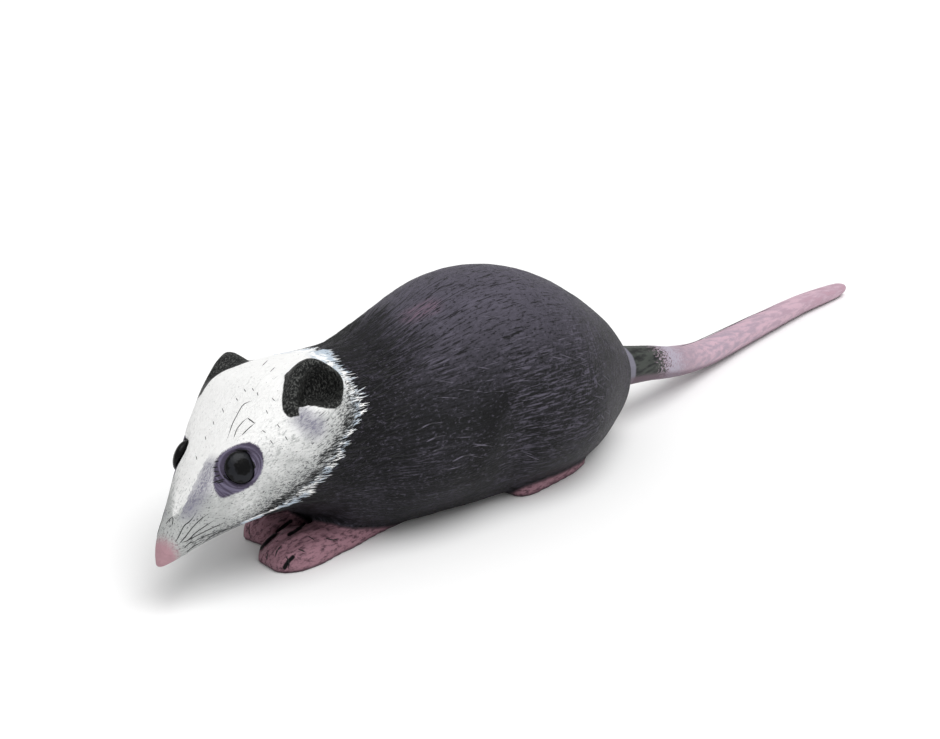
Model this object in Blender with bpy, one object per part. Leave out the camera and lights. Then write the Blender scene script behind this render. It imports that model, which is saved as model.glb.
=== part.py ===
"""Carved and painted wooden opossum figure, crouched flat on its belly.

+X is forward, +Y is the animal's left and +Z is up. The origin is on the flat
underside, below the middle of the body. The body is one carved block with a tail
let into its rump, so the block is modelled whole and then parted with thin cuts.
"""

import math

import bmesh
import bpy
from mathutils import Matrix, Vector

# All sizes below are in millimetres, and the meshes are made in metres

MM = 0.001
CUT = 0.3
SIDES = {"left": 1.0, "right": -1.0}

# Tail

TAIL_ROOT_X = -38.0
TAIL_ROOT_HEIGHT = 16.5
TAIL_ROOT_RADIUS = 5.8
TAIL_FACETS = 12
TAIL_RINGS_PER_STATION = 2

# Tail stations from the rump to the tip: place along X and Y, height, radius

TAIL_STATIONS = (
    (TAIL_ROOT_X - CUT, 0.0, TAIL_ROOT_HEIGHT, TAIL_ROOT_RADIUS),
    (-46.0, -0.6, 15.0, 5.2),
    (-54.5, -1.6, 13.2, 4.8),
    (-64.0, -3.8, 10.4, 4.5),
    (-78.0, -8.4, 6.8, 4.2),
    (-91.0, -12.2, 4.9, 4.0),
    (-110.0, -17.3, 3.8, 3.8),
    (-127.6, -21.0, 3.5, 3.5),
    (-146.4, -24.8, 3.1, 3.1),
    (-160.5, -26.5, 2.7, 2.7),
    (-169.5, -27.7, 2.3, 2.2),
    (-173.2, -28.2, 2.2, 1.2),
)

# The stations at which each length of the tail starts and ends

TAIL_LENGTHS = {"tail_base": (0, 3), "tail_middle": (3, 6), "tail_tip": (6, 11)}

# Head, in a frame of its own that starts midway between the eyes

EYES_MIDDLE = Vector((90.0, 5.6, 27.0))
HEAD_YAW = math.radians(12.0)
HEAD_PITCH = math.radians(16.0)
HEAD_ROLL = math.radians(7.8)

EYE_SPREAD = 9.2
EYE_RISE = 1.6
EYE_RADIUS = 3.6
EYE_DEPTH = 1.6

EAR_BACK = {"left": 21.5, "right": 22.0}
EAR_RISE = {"left": 8.0, "right": 6.2}
EAR_SPREAD = {"left": 13.6, "right": 15.4}
EAR_OPENING = (0.15, 0.85, 0.45)

# Rim of an ear in the plane of its opening: reach back and up from the ear's middle

EAR_RIM = (
    (1.6, 6.4), (4.4, 5.6), (6.4, 3.0), (7.8, -0.6), (7.2, -3.2), (5.0, -5.6), (2.0, -6.3), (-1.4, -4.8),
    (-4.6, -3.0), (-6.6, -3.5), (-8.4, -3.2), (-8.9, -1.2), (-7.6, 1.0), (-5.0, 3.4), (-1.6, 5.7),
)
EAR_RIM_STEPS = 3
EAR_MEAN_RADIUS = 6.5

# Sections of an ear from its buried back, over the rim and into the hollow:
# place along the opening direction, scale of the rim, shift back, shift up

EAR_BACK_SECTIONS = (
    (-7.0, 0.62, 0.6, -0.8),
    (-5.5, 0.82, 0.4, -0.4),
    (-2.5, 0.97, 0.0, 0.0),
    (0.5, 1.0, 0.0, 0.0),
    (1.8, 0.94, 0.0, 0.0),
    (2.3, 0.84, 0.5, -0.3),
)
EAR_HOLLOW_SECTIONS = (
    (1.7, 0.72, 1.1, -0.6),
    (-0.5, 0.60, 1.5, -0.9),
    (-2.6, 0.42, 1.7, -1.0),
    (-3.6, 0.18, 1.8, -1.0),
)

NOSE_PLACE = 18.6

# Torso stations from the tail root to the neck:
# place along X, height of the centre, half width, reach above and reach below the centre

TORSO_STATIONS = (
    (TAIL_ROOT_X, TAIL_ROOT_HEIGHT, TAIL_ROOT_RADIUS, TAIL_ROOT_RADIUS, TAIL_ROOT_RADIUS),
    (-37.3, 17.0, 7.8, 8.0, 9.5),
    (-34.0, 18.0, 10.8, 11.4, 15.0),
    (-28.0, 20.0, 14.6, 15.6, 20.5),
    (-19.0, 22.0, 19.8, 20.6, 25.5),
    (-7.0, 23.5, 24.8, 26.4, 27.5),
    (7.0, 24.0, 27.0, 30.0, 28.0),
    (21.0, 24.0, 26.5, 29.5, 28.0),
    (34.0, 24.0, 24.5, 24.5, 27.0),
    (46.0, 24.5, 22.5, 19.4, 26.5),
    (57.0, 26.5, 20.0, 17.4, 26.5),
)

# Head stations: place along the muzzle, rise, half width, reach above and reach below

HEAD_STATIONS = (
    (-19.0, -2.6, 18.8, 15.4, 24.0),
    (-11.0, -2.8, 17.4, 13.0, 16.4),
    (-2.0, -3.5, 12.9, 9.6, 11.8),
    (6.0, -5.0, 8.8, 7.2, 8.2),
    (13.0, -6.8, 5.6, 5.0, 5.0),
    (18.5, -8.2, 3.4, 3.2, 2.9),
    (21.3, -9.3, 1.8, 1.9, 1.3),
    (22.8, -10.0, 0.6, 0.8, 0.4),
)

# How square the upper half of a section is: 2 is an ellipse

BODY_SQUARENESS = 2.0
HEAD_SQUARENESS = 2.7

RINGS_PER_STATION = 3
RING_POINTS = 40

# Carved swellings and hollows of the flank: centre along X, height, length, tall, stand-out

SWELLINGS = {
    "shoulder": (41.0, 17.0, 13.0, 12.0, 2.6),
    "thigh": (-7.0, 14.0, 15.0, 13.0, 2.6),
    "crease before the thigh": (18.5, 16.0, 5.5, 14.0, -2.2),
}

# Limbs carved in low relief on the flank: centre and radii of the form that parts them

LIMB_FORMS = {
    "foreleg": ((43.0, 21.0, 15.0), (18.0, 11.0, 17.0)),
    "thigh": ((-6.0, 20.5, 15.0), (19.0, 12.0, 17.0)),
}

# Feet: heel and toe points on the floor

FOOT_PLACES = {
    "forepaw_left": ((42.0, 8.4), (79.2, 8.0)),
    "forepaw_right": ((42.0, -11.0), (74.5, -4.2)),
    "hind_foot_left": ((-15.0, 12.5), (12.0, 15.0)),
    "hind_foot_right": ((-15.0, -12.5), (12.0, -15.0)),
}

FOREPAW_WIDTHS = {"forepaw_left": 1.0, "forepaw_right": 0.8}

# Foot stations: share of the way from heel to toe, half width, height

FOOT_STATIONS = {
    "forepaw": (
        (0.0, 2.0, 2.2),
        (0.2, 3.2, 3.4),
        (0.4, 4.8, 4.8),
        (0.58, 6.0, 5.8),
        (0.75, 7.2, 6.8),
        (0.88, 6.9, 6.2),
        (0.96, 5.4, 4.6),
        (1.0, 3.2, 2.4),
    ),
    "hind_foot": (
        (0.0, 1.6, 1.8),
        (0.25, 3.6, 4.2),
        (0.6, 4.4, 5.4),
        (0.84, 4.6, 4.8),
        (0.96, 3.6, 3.6),
        (1.0, 2.0, 2.0),
    ),
}

RINGS_PER_FOOT_STATION = 2
FOOT_POINTS = 28
TOE_GROOVES = (-0.5, 0.0, 0.5)
TOE_GROOVE_WIDTH = 0.12
TOE_GROOVE_DEPTH = 0.30
TOES_START = 0.55

# Planes that part the head, neck and torso, each by two points of its side view

HEAD_PLANE = ((57.0, 43.0), (75.0, 13.0))
NECK_PLANE = ((42.0, 48.0), (66.0, 9.0))
BIG = 400.0
SHARP_ANGLE = math.radians(40.0)

# Paints: linear colour and roughness

PAINTS = {
    "charcoal_paint": ((0.045, 0.042, 0.055), 0.55),
    "white_paint": ((0.80, 0.80, 0.78), 0.60),
    "black_paint": ((0.010, 0.010, 0.010), 0.40),
    "pink_paint": ((0.42, 0.22, 0.26), 0.55),
    "tail_paint": ((0.66, 0.44, 0.54), 0.55),
    "eye_paint": ((0.008, 0.008, 0.010), 0.15),
}


def head_axes():
    """The muzzle's direction, the head's left and the head's up, turned with the head."""
    forward = Vector((
        math.cos(HEAD_PITCH) * math.cos(HEAD_YAW),
        math.cos(HEAD_PITCH) * math.sin(HEAD_YAW),
        -math.sin(HEAD_PITCH),
    ))
    level_left = Vector((-math.sin(HEAD_YAW), math.cos(HEAD_YAW), 0.0))
    level_up = forward.cross(level_left)
    left = level_left * math.cos(HEAD_ROLL) + level_up * math.sin(HEAD_ROLL)
    up = forward.cross(left)
    return forward, left, up


FORWARD, LEFT, UP = head_axes()


def head_point(along, side, rise):
    """A point given in the head's own frame."""
    return EYES_MIDDLE + FORWARD * along + LEFT * side + UP * rise


def smooth_between(before, start, end, after, part):
    """Catmull-Rom value a given part of the way from start to end."""
    return 0.5 * (
        2.0 * start
        + (end - before) * part
        + (2.0 * before - 5.0 * start + 4.0 * end - after) * part ** 2
        + (3.0 * start - before - 3.0 * end + after) * part ** 3
    )


def smooth_rows(rows, steps):
    """Rows of equal length, made finer by a smooth curve through each column."""
    last = len(rows) - 1
    finer = []
    for index in range(last):
        around = [rows[min(max(index + step, 0), last)] for step in (-1, 0, 1, 2)]
        for number in range(steps):
            part = number / steps
            finer.append([smooth_between(*column, part) for column in zip(*around)])
    finer.append(list(rows[last]))
    return finer


def smooth_loop(points, steps):
    """A closed row of points, made finer by a smooth curve through it."""
    count = len(points)
    finer = []
    for index in range(count):
        around = [points[(index + step) % count] for step in (-1, 0, 1, 2)]
        for number in range(steps):
            finer.append([smooth_between(*column, number / steps) for column in zip(*around)])
    return finer


# Mesh building

def finish_object(name, shape, collection):
    """Turn a bmesh into a linked object with its faces pointing out."""
    bmesh.ops.triangulate(shape, faces=shape.faces)
    bmesh.ops.recalc_face_normals(shape, faces=shape.faces)
    mesh = bpy.data.meshes.new(name)
    shape.to_mesh(mesh)
    shape.free()
    made = bpy.data.objects.new(name, mesh)
    collection.objects.link(made)
    return made


def shade(made):
    """Shade an object smooth, with its sharp edges kept."""
    made.data.shade_smooth()
    made.data.set_sharp_from_angle(angle=SHARP_ANGLE)


def loft(name, rings, collection):
    """A closed object through rings of equal count, given in millimetres, capped flat."""
    shape = bmesh.new()
    rows = [[shape.verts.new(point * MM) for point in ring] for ring in rings]
    count = len(rows[0])
    for row, following in zip(rows, rows[1:]):
        for index in range(count):
            beside = (index + 1) % count
            shape.faces.new((row[index], row[beside], following[beside], following[index]))
    shape.faces.new(list(reversed(rows[0])))
    shape.faces.new(rows[-1])
    return finish_object(name, shape, collection)


def ellipsoid(name, centre, axes, radii, collection, around=16, tall=8):
    """An ellipsoid whose three radii lie along the given axes."""
    shape = bmesh.new()
    bmesh.ops.create_uvsphere(shape, u_segments=around, v_segments=tall, radius=1.0)
    turn = Matrix([axis * radius * MM for axis, radius in zip(axes, radii)]).transposed()
    bmesh.ops.transform(
        shape, matrix=Matrix.Translation(centre * MM) @ turn.to_4x4(), verts=shape.verts
    )
    return finish_object(name, shape, collection)


def boolean(target, cutter, operation, solver="EXACT"):
    """Apply one Boolean of the target with the cutter, and leave the cutter as it is."""
    step = target.modifiers.new(operation, "BOOLEAN")
    step.operation = operation
    step.solver = solver
    step.object = cutter
    graph = bpy.context.evaluated_depsgraph_get()
    result = bpy.data.meshes.new_from_object(target.evaluated_get(graph))
    target.modifiers.remove(step)
    target.data = result
    keep_largest(target)


def keep_largest(target):
    """Keep only the largest closed surface of an object."""
    shape = bmesh.new()
    shape.from_mesh(target.data)
    left_over = set(shape.verts)
    islands = []
    while left_over:
        seed = left_over.pop()
        island = {seed}
        edge_of_search = [seed]
        while edge_of_search:
            vertex = edge_of_search.pop()
            for edge in vertex.link_edges:
                other = edge.other_vert(vertex)
                if other in left_over:
                    left_over.remove(other)
                    island.add(other)
                    edge_of_search.append(other)
        islands.append(island)
    islands.sort(key=len)
    scraps = [vertex for island in islands[:-1] for vertex in island]
    bmesh.ops.delete(shape, geom=scraps, context="VERTS")
    shape.to_mesh(target.data)
    shape.free()


def copy_of(source, name, collection):
    """A separate object with its own copy of the mesh."""
    made = bpy.data.objects.new(name, source.data.copy())
    collection.objects.link(made)
    return made


def discard(*objects):
    """Remove objects that only served to cut others."""
    for used in objects:
        bpy.data.objects.remove(used, do_unlink=True)


def part_off(block, name, make_form, collection):
    """Part a named piece off the block with a form, leaving a thin gap between them."""
    piece = copy_of(block, name, collection)
    form = make_form(0.0)
    boolean(piece, form, "INTERSECT")
    grown = make_form(CUT)
    boolean(block, grown, "DIFFERENCE")
    discard(form, grown)
    return piece


# The carved block

def block_sections():
    """Smooth sections from rump to nose: centre, left, up, squareness, half width and reaches."""
    rows = []
    for along, height, *reaches in TORSO_STATIONS:
        rows.append((along, 0.0, height, 0.0, *reaches))
    for along, rise, *reaches in HEAD_STATIONS:
        rows.append((*head_point(along, 0.0, rise), 1.0, *reaches))
    sections = []
    for x, y, z, turned, *reaches in smooth_rows(rows, RINGS_PER_STATION):
        turned = min(max(turned, 0.0), 1.0)
        left = Vector((0.0, 1.0, 0.0)).lerp(LEFT, turned).normalized()
        up = Vector((0.0, 0.0, 1.0)).lerp(UP, turned).normalized()
        squareness = BODY_SQUARENESS + (HEAD_SQUARENESS - BODY_SQUARENESS) * turned
        sections.append((Vector((x, y, z)), left, up, squareness, reaches))
    return sections


def swelling_at(point):
    """How far the carving swells out at a point of the flank, the same on both sides."""
    total = 0.0
    for along, height, length, tall, stand_out in SWELLINGS.values():
        distance = ((point.x - along) / length) ** 2 + ((point.z - height) / tall) ** 2
        total += stand_out * math.exp(-distance)
    return total


def block_ring(section):
    """One closed ring of points round a section, flattened where it meets the floor."""
    centre, left, up, squareness, (half_width, above, below) = section
    points = []
    for step in range(RING_POINTS):
        angle = 2.0 * math.pi * step / RING_POINTS
        side = math.cos(angle)
        rise = math.sin(angle)
        reach = above if rise > 0.0 else below
        if rise > 0.0:
            side = math.copysign(abs(side) ** (2.0 / squareness), side)
            rise = rise ** (2.0 / squareness)
        point = centre + left * (half_width * side) + up * (reach * rise)
        point += left * (side * swelling_at(point))
        point.z = max(point.z, 0.0)
        points.append(point)
    return points


def limb_form(limb, side, collection):
    """A maker of the form that parts one limb off the flank."""
    centre, radii = LIMB_FORMS[limb]
    middle = Vector((centre[0], centre[1] * side, centre[2]))
    axes = Matrix.Identity(3)

    def make(grow):
        return ellipsoid("form", middle, axes, [radius + grow for radius in radii], collection)

    return make


def plane_form(plane, collection):
    """A maker of a huge box whose rear face is the parting plane."""
    (high_x, high_z), (low_x, low_z) = plane
    along_plane = Vector((high_x - low_x, 0.0, high_z - low_z)).normalized()
    forward = Vector((along_plane.z, 0.0, -along_plane.x))
    return half_space(Vector((low_x, 0.0, low_z)), forward, along_plane, collection)


def half_space(point, forward, upward, collection):
    """A maker of a huge box that holds everything in front of a plane."""
    across = upward.cross(forward)

    def make(grow):
        shape = bmesh.new()
        bmesh.ops.create_cube(shape, size=BIG * MM)
        turn = Matrix((forward, across, upward)).transposed().to_4x4()
        middle = point + forward * (BIG / 2.0 - grow)
        bmesh.ops.transform(
            shape, matrix=Matrix.Translation(middle * MM) @ turn, verts=shape.verts
        )
        return finish_object("form", shape, collection)

    return make


# Feet

def foot(name, place_name, grow, collection):
    """One foot as a low loaf on the floor, with shallow grooves between its toes."""
    kind = place_name.rsplit("_", 1)[0]
    heel, toe = [Vector((x, y, 0.0)) for x, y in FOOT_PLACES[place_name]]
    ahead = (toe - heel).normalized()
    across = Vector((0.0, 0.0, 1.0)).cross(ahead)
    rings = []
    for share, half_width, height in smooth_rows(FOOT_STATIONS[kind], RINGS_PER_FOOT_STATION):
        half_width *= FOREPAW_WIDTHS.get(place_name, 1.0)
        place = heel.lerp(toe, share) + ahead * (grow * (2.0 * share - 1.0))
        toes = min(max((share - TOES_START) / (1.0 - TOES_START), 0.0), 1.0)
        ring = []
        for step in range(FOOT_POINTS):
            angle = 2.0 * math.pi * step / FOOT_POINTS
            over = math.cos(angle)
            groove = sum(math.exp(-((over - at) / TOE_GROOVE_WIDTH) ** 2) for at in TOE_GROOVES)
            lift = max(math.sin(angle), 0.0) ** 0.7
            if grow == 0.0:
                lift *= 1.0 - TOE_GROOVE_DEPTH * toes * groove
            rise = (height + grow) * lift if math.sin(angle) > 0.0 else -grow
            ring.append(place + across * ((half_width + grow) * over) + Vector((0.0, 0.0, rise)))
        rings.append(ring)
    return loft(name, rings, collection)


# Ears and eyes

def ear_axes(side):
    """The ear's opening direction, the way back across it and the way up it."""
    ahead, out, rise = EAR_OPENING
    opening = (FORWARD * ahead + LEFT * (out * side) + UP * rise).normalized()
    back = UP.cross(opening).normalized() * side
    up = (UP - opening * opening.dot(UP)).normalized()
    return opening, back, up


def ear(name, side_name, grow, collection):
    """A thick carved ear, with a hollow scooped into its open face."""
    side = SIDES[side_name]
    opening, back, up = ear_axes(side)
    centre = head_point(-EAR_BACK[side_name], EAR_SPREAD[side_name] * side, EAR_RISE[side_name])
    rim = smooth_loop(EAR_RIM, EAR_RIM_STEPS)
    sections = EAR_BACK_SECTIONS
    if grow == 0.0:
        sections += EAR_HOLLOW_SECTIONS
    rings = []
    for out, scale, shift_back, shift_up in sections:
        scale += grow / EAR_MEAN_RADIUS
        out += math.copysign(grow, out)
        middle = centre + opening * out + back * shift_back + up * shift_up
        rings.append([middle + (back * reach + up * rise) * scale for reach, rise in rim])
    return loft(name, rings, collection)


def eye(name, side, grow, collection):
    """A low domed eye set in the side of the head."""
    centre = head_point(0.0, EYE_SPREAD * side, EYE_RISE)
    outward = (LEFT * side + UP * 0.45 + FORWARD * 0.25).normalized()
    width = UP.cross(outward).normalized()
    axes = (outward, width, outward.cross(width))
    radii = [EYE_DEPTH + grow, EYE_RADIUS + grow, EYE_RADIUS + grow]
    return ellipsoid(name, centre, axes, radii, collection, around=16, tall=8)


# Tail

def tail_rings():
    """Rings of flat-faced sections along the tail, flattened where it lies on the floor."""
    rows = smooth_rows(TAIL_STATIONS, TAIL_RINGS_PER_STATION)
    rings = []
    for index, (x, y, z, radius) in enumerate(rows):
        before = rows[max(index - 1, 0)]
        after = rows[min(index + 1, len(rows) - 1)]
        ahead = Vector(after[:3]) - Vector(before[:3])
        if index == 0:
            ahead = Vector((-1.0, 0.0, 0.0))
        across = Vector((0.0, 0.0, 1.0)).cross(ahead).normalized()
        up = ahead.cross(across).normalized()
        ring = []
        for facet in range(TAIL_FACETS):
            angle = 2.0 * math.pi * (facet + 0.5) / TAIL_FACETS
            point = Vector((x, y, z)) + (across * math.cos(angle) + up * math.sin(angle)) * radius
            point.z = max(point.z, 0.0)
            ring.append(point)
        rings.append(ring)
    return rings


def make_tail(collection):
    """The tail in three lengths that meet face to face."""
    rings = tail_rings()
    pieces = []
    for name, (first, last) in TAIL_LENGTHS.items():
        start = first * TAIL_RINGS_PER_STATION
        stop = last * TAIL_RINGS_PER_STATION
        chosen = [list(ring) for ring in rings[start:stop + 1]]
        if first > 0:
            step = (chosen[1][0] - chosen[0][0]).normalized() * CUT
            chosen[0] = [point + step for point in chosen[0]]
            for point in chosen[0]:
                point.z = max(point.z, 0.0)
        pieces.append(loft(name, chosen, collection))
    return pieces


# Assembly

def paint(made, name):
    """Give an object one paint, made once and shared, and smooth shading."""
    material = bpy.data.materials.get(name) or bpy.data.materials.new(name)
    colour, roughness = PAINTS[name]
    material.use_nodes = True
    shader = material.node_tree.nodes["Principled BSDF"]
    shader.inputs["Base Color"].default_value = (*colour, 1.0)
    shader.inputs["Roughness"].default_value = roughness
    shader.inputs["Metallic"].default_value = 0.0
    made.data.materials.clear()
    made.data.materials.append(material)
    shade(made)


def set_in(piece_maker, hosts, solver="EXACT"):
    """Cut the place of a piece out of the nodes it sits in."""
    grown = piece_maker(CUT)
    for host in hosts:
        boolean(host, grown, "DIFFERENCE", solver)
    discard(grown)


def main():
    for old in list(bpy.data.objects):
        bpy.data.objects.remove(old, do_unlink=True)
    figure = bpy.data.collections.new("opossum_figure")
    bpy.context.scene.collection.children.link(figure)

    torso = loft("torso", [block_ring(section) for section in block_sections()], figure)
    nose_plane = half_space(head_point(NOSE_PLACE, 0.0, 0.0), FORWARD, UP, figure)
    nose = part_off(torso, "nose", nose_plane, figure)
    head = part_off(torso, "head", plane_form(HEAD_PLANE, figure), figure)

    limbs = []
    for side_name, side in SIDES.items():
        for limb in LIMB_FORMS:
            name = limb + "_" + side_name
            limbs.append(part_off(torso, name, limb_form(limb, side, figure), figure))
    neck = part_off(torso, "neck", plane_form(NECK_PLANE, figure), figure)

    ears, eyes, feet = [], [], []
    for side_name, side in SIDES.items():
        ears.append(ear("ear_" + side_name, side_name, 0.0, figure))
        set_in(lambda grow: ear("form", side_name, grow, figure), (head, neck))
        eyes.append(eye("eye_" + side_name, side, 0.0, figure))
        set_in(lambda grow: eye("form", side, grow, figure), (head,))
    for name in FOOT_PLACES:
        feet.append(foot(name, name, 0.0, figure))
        set_in(lambda grow: foot("form", name, grow, figure), [torso, neck] + limbs, "MANIFOLD")

    tail = make_tail(figure)

    for made in [torso, neck] + limbs:
        paint(made, "charcoal_paint")
    for made in ears:
        paint(made, "black_paint")
    for made in eyes:
        paint(made, "eye_paint")
    for made in feet + [nose]:
        paint(made, "pink_paint")
    for made in tail:
        paint(made, "tail_paint")
    paint(tail[0], "charcoal_paint")
    paint(head, "white_paint")


main()
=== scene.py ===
"""Painted surface, eyes, tail, light and camera of the carved wooden opossum figure.

Sizes are in millimetres, in the figure's own frame: +X forward, +Y its left, +Z up.
"""

import math

import bmesh
import bpy
import numpy as np
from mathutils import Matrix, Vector, noise
from mathutils.bvhtree import BVHTree


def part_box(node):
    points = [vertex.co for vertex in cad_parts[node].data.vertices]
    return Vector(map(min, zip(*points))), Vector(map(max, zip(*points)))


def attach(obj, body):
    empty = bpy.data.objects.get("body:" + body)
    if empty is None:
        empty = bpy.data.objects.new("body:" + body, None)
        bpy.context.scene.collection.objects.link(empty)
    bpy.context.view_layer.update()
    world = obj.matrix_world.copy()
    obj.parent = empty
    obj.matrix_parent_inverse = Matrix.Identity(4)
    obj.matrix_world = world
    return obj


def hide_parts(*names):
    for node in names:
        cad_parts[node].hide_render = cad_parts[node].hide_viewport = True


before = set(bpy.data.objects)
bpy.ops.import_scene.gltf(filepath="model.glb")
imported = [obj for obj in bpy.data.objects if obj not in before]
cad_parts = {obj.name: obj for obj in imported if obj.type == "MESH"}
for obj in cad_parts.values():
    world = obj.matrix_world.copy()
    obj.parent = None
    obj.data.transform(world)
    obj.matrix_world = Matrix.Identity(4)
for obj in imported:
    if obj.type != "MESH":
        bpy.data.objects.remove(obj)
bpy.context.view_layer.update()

MM = 0.001
SIDES = {"left": 1.0, "right": -1.0}

# Nodes of the carved block, which one skin stands for

PAWS = ["forepaw_left", "forepaw_right", "hind_foot_left", "hind_foot_right"]
EARS = ["ear_left", "ear_right"]
LEGS = ["foreleg_left", "foreleg_right", "thigh_left", "thigh_right"]
BLOCK = ["torso", "neck", "head", "nose"] + LEGS
TAIL = ["tail_base", "tail_middle", "tail_tip"]

# Skin and tail meshes: voxels, the growth that closes the cuts, and rounds of smoothing

SKIN_VOXEL = 0.56
TAIL_VOXEL = 0.42
GROW = 0.22
FLOOR_GAP = 0.02
FIRST_ROUNDS = 2
BODY_ROUNDS = 70
FINE_ROUNDS = 4
LAST_ROUNDS = 6
TAIL_ROUNDS = 5
SMOOTH_STEPS = (0.6, -0.62)
PLAIN_STEPS = (0.5,)

# Where the skin keeps its fine forms: near the paws and ears, and on the muzzle

FINE_REACH = 1.2
MUZZLE_START = 16.0
MUZZLE_FADE = 1.5

# Shallow carving of the skin

KNIFE_DEPTH = 0.16
KNIFE_STRETCH = (0.055, 0.19, 0.19)
GROOVE_DEPTHS = (1.1, 0.3, 0.4)
GROOVE_WIDTH = 0.7
GROOVE_PLACES = 70

# Head: how far it is turned, tipped and tilted, and where its middle lies below the eyes

HEAD_YAW = math.radians(12.0)
HEAD_PITCH = math.radians(16.0)
HEAD_ROLL = math.radians(7.8)
EYE_RISE = 1.6
HEAD_AXIS_RISE = -2.8

# Eyes

EYE_RADIUS = 3.6
EYE_DEPTH = 1.6
EYE_OUTWARD = np.array((0.25, 1.0, 0.45))
EYE_RINGS = 22
EYE_SPOKES = 64

# Tail: where it leaves the rump, and the slices that find its middle line

TAIL_ROOT = np.array((-38.0, 0.0, 16.5))
TAIL_SLICES = 60
SLICE_OVERLAP = 1.5

# The photograph's camera

IMAGE_SIZE = (940, 739)
FOCAL_PIXELS = 1800.0
CAMERA_PLACE = np.array((281.9, 310.9, 186.5))
CAMERA_AZIMUTH = math.radians(41.0)
CAMERA_ELEVATION = math.radians(21.0)
SENSOR = 36.0
CLIP_START = 0.01

# Places read off the photograph, in its pixels

RUFF_BORDER = [
    (318, 351), (338, 371), (357, 394), (359, 414), (347, 434), (334, 461), (312, 485),
    (288, 504), (255, 517),
]
EYE_PATCH = [
    (249, 442), (258, 446), (263, 456), (263, 466), (259, 477), (252, 485), (242, 491), (233, 494),
    (223, 498), (217, 494), (214, 486), (214, 474), (215, 463), (221, 454), (230, 448), (239, 444),
]
LAVENDER_STREAK = [(208, 468), (205, 480), (197, 494), (188, 507)]
UNDER_EAR = [(303, 418), (310, 424), (316, 427)]
RIGHT_EAR_SKIRT = [
    (196, 400), (201, 394.6), (215, 389.5), (230, 382.6), (240, 376), (247.6, 370.6),
    (256, 357), (256, 340), (196, 340),
]
FOREHEAD_LINES = [
    [(250.7, 401), (243, 405), (237, 415), (232, 425), (228, 437), (226, 441)],
    [(234, 437.6), (237, 429), (243, 421.6), (247.6, 418)],
    [(242, 435), (248, 429), (255, 423)],
    [(247.6, 418), (251, 420.5), (255.6, 424)],
]
FACE_TICKS = [
    [(244, 389), (246, 392)], [(252, 388), (254, 391)], [(257, 392), (258, 396)],
    [(236, 398), (238, 401)], [(262, 366), (268, 360)], [(270, 372), (275, 367)],
    [(222, 408), (224, 413)], [(213, 421), (214, 425)], [(272, 398), (275, 401)],
    [(266, 410), (268, 414)], [(262, 430), (266, 433)], [(205, 436), (206, 440)],
    [(270, 440), (273, 444)], [(277, 424), (280, 428)], [(196, 456), (197, 460)],
    [(285, 436), (288, 441)],
]
WHISKERS = [
    [(175.6, 542), (180, 534), (184, 526), (190, 521), (197, 512.5)],
    [(179, 544), (186, 536), (192.5, 527.5), (201, 519), (211, 512)],
    [(181, 542.5), (187.5, 540.6), (196, 532.5), (206, 525.6), (216, 519)],
    [(187, 541), (196, 536), (210, 529), (221, 524), (227.5, 520.6)],
    [(195, 541), (205, 536), (219, 530.6)],
    [(166, 524), (170, 519), (174, 516)],
]
MOUTH_LINES = [
    [(202.5, 543), (215, 534), (227.5, 529), (239, 524)],
    [(184, 548), (190, 543), (197, 541)],
    [(187, 552), (194, 546), (202, 542)],
]
EYE_LINES = [
    [(223, 475), (228, 479.5), (233, 481)],
    [(252.6, 461), (254.8, 467), (252.6, 473)],
    [(235, 449.5), (241, 450.4), (247.5, 450.8), (251.5, 454)],
]
LASHES = [
    [(219, 461), (214, 462)], [(218, 467), (212, 467.5)], [(219, 472), (213, 471)],
    [(220, 475), (214, 477)], [(225, 479), (218, 481), (211, 483.5)], [(224, 481), (216, 483.5)],
]
PAW_GROOVES = [
    [(291, 521), (283, 527), (273, 536), (264, 545), (257, 552)],
    [(304, 524), (297, 530), (289, 535)],
    [(293, 557), (288, 562), (284.5, 568)],
]
TOE_LINES = [
    [(281, 546), (277, 551), (275, 558)], [(250, 523), (249, 530), (251, 538)],
    [(268, 553), (266, 561)], [(286, 556), (289, 563), (288, 569)],
    [(325, 538), (333, 540), (340, 538)], [(308, 536), (316, 541)], [(298, 549), (306, 552)],
]
CREASE = [(505, 400), (494, 425), (484, 448), (478, 470)]
SHOULDER_ARCS = [
    [(426, 442), (437, 437), (447, 435)], [(452, 462), (464, 456), (478, 454)],
    [(432, 452), (446, 447), (458, 446)], [(440, 470), (455, 468), (470, 462)],
    [(418, 430), (430, 424), (444, 422)],
]
PINK_SMEAR = [(410, 316), (420, 311), (431, 306)]
TAIL_EDGE = [(679, 347), (702, 339), (746, 318), (770, 308), (790, 295)]

# Markings: how far they reach, and from what turn round the head they show on each side

FAR = 1e3
PIXELS_PER_MM = 4.2
SKIRT_REACH = 2.6
# The face's painted shade and stipple begin at this turn round the head, and are full after the
# fade
CHEEK_TURN = 0.65
CHEEK_FADE = 0.85
STREAK_TURNS = {"left": 0.0, "right": 1.5}
STREAK_SIDE = 1.5
PATCH_TURNS = {"left": 0.0, "right": 1.15}
PATCH_FADE = 6.0
EYE_CHART_BACK = -5.0
FLOW_HEIGHT = 22.0
FLOW_RADIUS = 20.0
SIDE_VIEW = (1.0, 0.0, 1.0)
SMEAR_PLACES = 14
CREASE_PLACES = 24
STREAK_PLACES = 14
UNDER_EAR_PLACES = 8
OUTLINE_PLACES = 60

# Where each paint starts and where it is full, along its own field

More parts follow.
